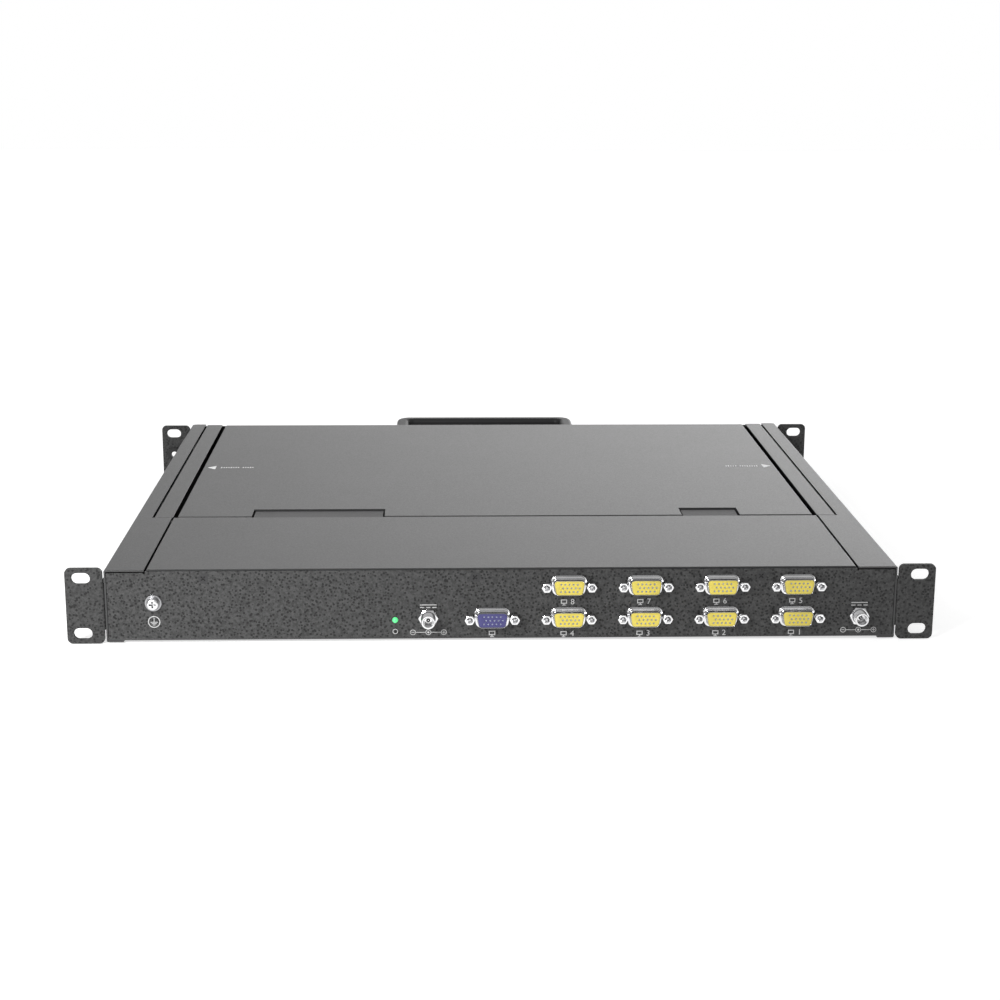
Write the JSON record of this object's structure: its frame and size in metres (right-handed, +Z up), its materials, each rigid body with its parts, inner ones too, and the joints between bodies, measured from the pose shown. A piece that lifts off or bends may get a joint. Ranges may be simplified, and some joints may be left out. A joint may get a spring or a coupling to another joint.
{
  "type": "rack console drawer with kvm switch",
  "caption": "Shallow rack drawer with a fold-up display, keyboard and touch pad, and a video and keyboard switch with a row of ports at the rear.",
  "frame": {"origin": "centre of the front rack bolt pattern, on the rear face of the front ears", "axes": "+X to the user's right, +Y to the rear of the rack, +Z up"},
  "size_m": [0.4826, 0.4365, 0.0434],
  "materials": {
    "top_paint": "satin fine-textured dark grey paint",
    "rear_coat": "black sand-textured powder coat",
    "bracket_coat": "black sand-textured powder coat",
    "hinge_paint": "matt dark grey paint",
    "handle_black": "semi-gloss black",
    "black_screw": "black oxide",
    "zinc_steel": "zinc plated",
    "hinge_metal": "die-cast, unpainted",
    "nickel": "bright nickel",
    "brass": "plain",
    "circuit_board": "solder mask",
    "chip_black": "moulded",
    "connector_black": "moulded",
    "port_yellow": "moulded",
    "port_blue": "moulded",
    "led_lens": "lit lens",
    "deck_black": "fine-textured",
    "key_black": "fine-textured",
    "pad_grey": "smooth matt",
    "rubber": "matt",
    "bezel_black": "fine-textured",
    "screen": "anti-glare",
    "display_module": null
  },
  "bodies": {
    "chassis": {"side_channel_right": "top_paint", "side_channel_left": "top_paint", "base_pan": "top_paint", "rear_panel": "rear_coat", "rear_cover": "top_paint", "rear_cover_screws": "black_screw", "bulkhead": "zinc_steel", "front_ear_right": "bracket_coat", "front_ear_left": "bracket_coat", "ear_clinch_nuts": "black_screw", "side_screws": "black_screw", "slide_outer_rails": "zinc_steel", "switch_board": "circuit_board", "board_chips": "chip_black", "board_standoffs": "brass", "jack_board": "circuit_board", "port_housings": "connector_black", "port_shells": "nickel", "computer_port_inserts": "port_yellow", "console_port_insert": "port_blue", "port_jackscrews": "nickel", "power_jacks": "nickel", "power_jack_pins": "brass", "power_jack_nuts": "nickel", "power_led": "led_lens", "ground_screw": "nickel", "ground_washer": "nickel"},
    "rear_bracket_right": {"rear_ear_right": "bracket_coat"},
    "rear_bracket_left": {"rear_ear_left": "bracket_coat"},
    "ball_cages": {"slide_ball_cages": "zinc_steel"},
    "drawer": {"drawer_tray": "top_paint", "front_panel": "bracket_coat", "drawer_handle": "handle_black", "handle_screws": "zinc_steel", "slide_inner_rails": "zinc_steel", "keyboard_deck": "deck_black", "keyboard_base": "deck_black", "touchpad": "pad_grey", "lid_bumpers": "rubber", "hinge_knuckles": "hinge_metal", "hinge_screws": "zinc_steel", "hinge_covers": "hinge_paint"},
    "keys": {"keycaps": "key_black"},
    "space_key": {"space_bar": "key_black"},
    "pad_click_left": {"touchpad_button_left": "key_black"},
    "pad_click_right": {"touchpad_button_right": "key_black"},
    "lid": {"lid_cover": "top_paint", "display_bezel": "bezel_black", "display_screen": "screen", "display_panel": "display_module", "display_boards": "circuit_board", "lid_hinge_blocks": "hinge_metal", "hinge_pins": "zinc_steel"},
    "display_key_1": {"osd_button_1": "key_black"},
    "display_key_2": {"osd_button_2": "key_black"},
    "display_key_3": {"osd_button_3": "key_black"},
    "display_key_4": {"osd_button_4": "key_black"},
    "display_key_5": {"osd_button_5": "key_black"}
  },
  "joints": [
    {"name": "drawer_slide", "type": "slide", "parent": "chassis", "child": "drawer", "axis": [0, -1, 0], "range_m": [0, 0.29]},
    {"name": "cage_slide", "type": "slide", "parent": "chassis", "child": "ball_cages", "axis": [0, -1, 0], "range_m": [0, 0.145]},
    {"name": "rear_bracket_right_slide", "type": "slide", "parent": "chassis", "child": "rear_bracket_right", "axis": [0, 1, 0], "range_m": [0, 0.1]},
    {"name": "rear_bracket_left_slide", "type": "slide", "parent": "chassis", "child": "rear_bracket_left", "axis": [0, 1, 0], "range_m": [0, 0.1]},
    {"name": "lid_hinge", "type": "hinge", "parent": "drawer", "child": "lid", "pos_m": [0, 0.254, 0.0152], "axis": [-1, 0, 0], "range_deg": [0, 120]},
    {"name": "keys_press", "type": "slide", "parent": "drawer", "child": "keys", "axis": [0, 0, -1], "range_m": [0, 0.002], "stiffness_N_per_m": 1500, "springref_m": -0.004},
    {"name": "space_press", "type": "slide", "parent": "drawer", "child": "space_key", "axis": [0, 0, -1], "range_m": [0, 0.002], "stiffness_N_per_m": 150, "springref_m": -0.003},
    {"name": "pad_left_press", "type": "slide", "parent": "drawer", "child": "pad_click_left", "axis": [0, 0, -1], "range_m": [0, 0.0006], "stiffness_N_per_m": 400, "springref_m": -0.001},
    {"name": "pad_right_press", "type": "slide", "parent": "drawer", "child": "pad_click_right", "axis": [0, 0, -1], "range_m": [0, 0.0006], "stiffness_N_per_m": 400, "springref_m": -0.001},
    {"name": "display_key_1_press", "type": "slide", "parent": "lid", "child": "display_key_1", "axis": [0, 0, 1], "range_m": [0, 0.0005], "stiffness_N_per_m": 400, "springref_m": -0.001},
    {"name": "display_key_2_press", "type": "slide", "parent": "lid", "child": "display_key_2", "axis": [0, 0, 1], "range_m": [0, 0.0005], "stiffness_N_per_m": 400, "springref_m": -0.001},
    {"name": "display_key_3_press", "type": "slide", "parent": "lid", "child": "display_key_3", "axis": [0, 0, 1], "range_m": [0, 0.0005], "stiffness_N_per_m": 400, "springref_m": -0.001},
    {"name": "display_key_4_press", "type": "slide", "parent": "lid", "child": "display_key_4", "axis": [0, 0, 1], "range_m": [0, 0.0005], "stiffness_N_per_m": 400, "springref_m": -0.001},
    {"name": "display_key_5_press", "type": "slide", "parent": "lid", "child": "display_key_5", "axis": [0, 0, 1], "range_m": [0, 0.0005], "stiffness_N_per_m": 400, "springref_m": -0.001}
  ],
  "couplings": [
    {"joint": "cage_slide", "follows": "drawer_slide", "ratio": 0.5}
  ]
}
